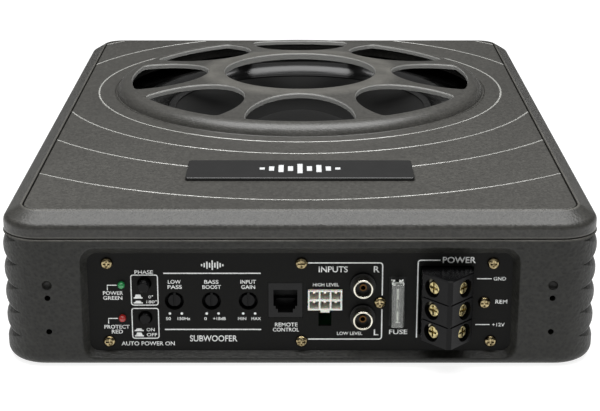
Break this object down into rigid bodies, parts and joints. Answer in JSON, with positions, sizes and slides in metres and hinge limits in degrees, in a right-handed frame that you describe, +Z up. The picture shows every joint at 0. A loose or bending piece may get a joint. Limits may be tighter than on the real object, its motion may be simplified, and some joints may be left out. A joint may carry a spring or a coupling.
{
  "type": "powered car subwoofer",
  "caption": "Flat powered subwoofer for under a car seat: ribbed housing, domed round grille over a woofer, and a recessed control and terminal panel at one end.",
  "frame": {"origin": "centre of the chassis's flat underside", "axes": "+Z up, +Y towards the end away from the control panel, +X to the right seen from the control panel"},
  "size_m": [0.25, 0.353, 0.0759],
  "materials": {
    "housing_coat": "matte",
    "lid_coat": "satin",
    "plate_coat": "satin",
    "badge_gloss": "gloss",
    "panel_black": "satin",
    "screw_yellow": "satin",
    "screw_black": "satin",
    "clamp_brass": "satin",
    "washer_nickel": "satin",
    "green_lens": "gloss",
    "red_lens": "gloss",
    "black_plastic": "satin",
    "moulded_black": "matte",
    "header_white": "satin",
    "plated_metal": "polished",
    "fuse_clear": "gloss",
    "fuse_zinc": "satin",
    "sheet_steel": "satin",
    "basket_coat": "satin",
    "ferrite": "matte",
    "surround_rubber": "satin",
    "gasket_foam": "matte",
    "cone_paper": "matte",
    "spider_cloth": "matte",
    "coil_copper": "satin",
    "board_green": "satin",
    "capacitor_sleeve": "satin",
    "core_tape": "satin",
    "bare_aluminium": "satin"
  },
  "bodies": {
    "housing": {"badge": "badge_gloss", "baffle_plate": "basket_coat", "basket": "basket_coat", "capacitors": "capacitor_sleeve", "chassis": "housing_coat", "control_board": "board_green", "control_panel": "panel_black", "front_pole_plate": "sheet_steel", "fuse_holder": "moulded_black", "grille_plate": "plate_coat", "grille_screws": "screw_black", "header_pins": "plated_metal", "heat_spreader": "bare_aluminium", "high_level_header": "header_white", "led_power": "green_lens", "led_protect": "red_lens", "lid_frame": "lid_coat", "lid_gasket": "gasket_foam", "lid_screws": "screw_black", "magnet": "ferrite", "main_board": "board_green", "panel_screws": "screw_yellow", "pot_bodies": "moulded_black", "power_transformer": "core_tape", "power_transistors": "moulded_black", "rca_contacts": "plated_metal", "rca_housing": "moulded_black", "rca_shells": "plated_metal", "remote_jack": "moulded_black", "remote_jack_contacts": "plated_metal", "spider": "spider_cloth", "surround_roll": "surround_rubber", "switch_bodies": "moulded_black", "terminal_bars": "washer_nickel", "terminal_block": "black_plastic", "woofer_screws": "screw_black", "yoke": "sheet_steel"},
    "cone_assembly": {"cone": "cone_paper", "dust_cap": "cone_paper", "voice_coil": "coil_copper", "surround_lip": "surround_rubber"},
    "phase_button": {"phase_button": "black_plastic"},
    "auto_power_button": {"auto_power_button": "black_plastic"},
    "low_pass_knob": {"low_pass_knob": "black_plastic"},
    "bass_boost_knob": {"bass_boost_knob": "black_plastic"},
    "gain_knob": {"gain_knob": "black_plastic"},
    "fuse": {"fuse_body": "fuse_clear", "fuse_element": "fuse_zinc"},
    "clamp_washer_1": {"clamp_washer_1": "washer_nickel"},
    "clamp_screw_1": {"clamp_screw_1": "clamp_brass"},
    "clamp_washer_2": {"clamp_washer_2": "washer_nickel"},
    "clamp_screw_2": {"clamp_screw_2": "clamp_brass"},
    "clamp_washer_3": {"clamp_washer_3": "washer_nickel"},
    "clamp_screw_3": {"clamp_screw_3": "clamp_brass"},
    "clamp_washer_4": {"clamp_washer_4": "washer_nickel"},
    "clamp_screw_4": {"clamp_screw_4": "clamp_brass"},
    "clamp_washer_5": {"clamp_washer_5": "washer_nickel"},
    "clamp_screw_5": {"clamp_screw_5": "clamp_brass"},
    "clamp_washer_6": {"clamp_washer_6": "washer_nickel"},
    "clamp_screw_6": {"clamp_screw_6": "clamp_brass"}
  },
  "joints": [
    {"name": "cone_stroke", "type": "slide", "parent": "housing", "child": "cone_assembly", "axis": [0, 0, 1], "range_m": [-0.004, 0.004], "stiffness_N_per_m": 1200},
    {"name": "phase_push", "type": "slide", "parent": "housing", "child": "phase_button", "axis": [0, 1, 0], "range_m": [0, 0.003]},
    {"name": "auto_power_push", "type": "slide", "parent": "housing", "child": "auto_power_button", "axis": [0, 1, 0], "range_m": [-0.003, 0]},
    {"name": "low_pass_turn", "type": "hinge", "parent": "housing", "child": "low_pass_knob", "pos_m": [-0.0525, -0.165, 0.0281], "axis": [0, 1, 0], "range_deg": [-140, 140]},
    {"name": "bass_boost_turn", "type": "hinge", "parent": "housing", "child": "bass_boost_knob", "pos_m": [-0.037, -0.165, 0.0281], "axis": [0, 1, 0], "range_deg": [-140, 140]},
    {"name": "gain_turn", "type": "hinge", "parent": "housing", "child": "gain_knob", "pos_m": [-0.0216, -0.165, 0.0281], "axis": [0, 1, 0], "range_deg": [-140, 140]},
    {"name": "fuse_pull", "type": "slide", "parent": "housing", "child": "fuse", "axis": [0, -1, 0], "range_m": [0, 0.02]},
    {"name": "clamp_travel_1", "type": "slide", "parent": "housing", "child": "clamp_washer_1", "axis": [0.7354, 0.6777, 0], "range_m": [-0.0007, 0.00098]},
    {"name": "clamp_turn_1", "type": "hinge", "parent": "clamp_washer_1", "child": "clamp_screw_1", "pos_m": [0.0541, -0.17671, 0.0379], "axis": [0.7354, 0.6777, 0], "range_deg": [-360, 504]},
    {"name": "clamp_travel_2", "type": "slide", "parent": "housing", "child": "clamp_washer_2", "axis": [-0.7354, 0.6777, 0], "range_m": [-0.0007, 0.00098]},
    {"name": "clamp_turn_2", "type": "hinge", "parent": "clamp_washer_2", "child": "clamp_screw_2", "pos_m": [0.0679, -0.17671, 0.0379], "axis": [-0.7354, 0.6777, 0], "range_deg": [-360, 504]},
    {"name": "clamp_travel_3", "type": "slide", "parent": "housing", "child": "clamp_washer_3", "axis": [0.7354, 0.6777, 0], "range_m": [-0.0007, 0.00098]},
    {"name": "clamp_turn_3", "type": "hinge", "parent": "clamp_washer_3", "child": "clamp_screw_3", "pos_m": [0.0541, -0.17671, 0.028], "axis": [0.7354, 0.6777, 0], "range_deg": [-360, 504]},
    {"name": "clamp_travel_4", "type": "slide", "parent": "housing", "child": "clamp_washer_4", "axis": [-0.7354, 0.6777, 0], "range_m": [-0.0007, 0.00098]},
    {"name": "clamp_turn_4", "type": "hinge", "parent": "clamp_washer_4", "child": "clamp_screw_4", "pos_m": [0.0679, -0.17671, 0.028], "axis": [-0.7354, 0.6777, 0], "range_deg": [-360, 504]},
    {"name": "clamp_travel_5", "type": "slide", "parent": "housing", "child": "clamp_washer_5", "axis": [0.7354, 0.6777, 0], "range_m": [-0.0007, 0.00098]},
    {"name": "clamp_turn_5", "type": "hinge", "parent": "clamp_washer_5", "child": "clamp_screw_5", "pos_m": [0.0541, -0.17671, 0.0183], "axis": [0.7354, 0.6777, 0], "range_deg": [-360, 504]},
    {"name": "clamp_travel_6", "type": "slide", "parent": "housing", "child": "clamp_washer_6", "axis": [-0.7354, 0.6777, 0], "range_m": [-0.0007, 0.00098]},
    {"name": "clamp_turn_6", "type": "hinge", "parent": "clamp_washer_6", "child": "clamp_screw_6", "pos_m": [0.0679, -0.17671, 0.0183], "axis": [-0.7354, 0.6777, 0], "range_deg": [-360, 504]}
  ],
  "couplings": [
    {"joint": "clamp_turn_1", "follows": "clamp_travel_1", "rad_per_m": 8976},
    {"joint": "clamp_turn_2", "follows": "clamp_travel_2", "rad_per_m": 8976},
    {"joint": "clamp_turn_3", "follows": "clamp_travel_3", "rad_per_m": 8976},
    {"joint": "clamp_turn_4", "follows": "clamp_travel_4", "rad_per_m": 8976},
    {"joint": "clamp_turn_5", "follows": "clamp_travel_5", "rad_per_m": 8976},
    {"joint": "clamp_turn_6", "follows": "clamp_travel_6", "rad_per_m": 8976}
  ]
}
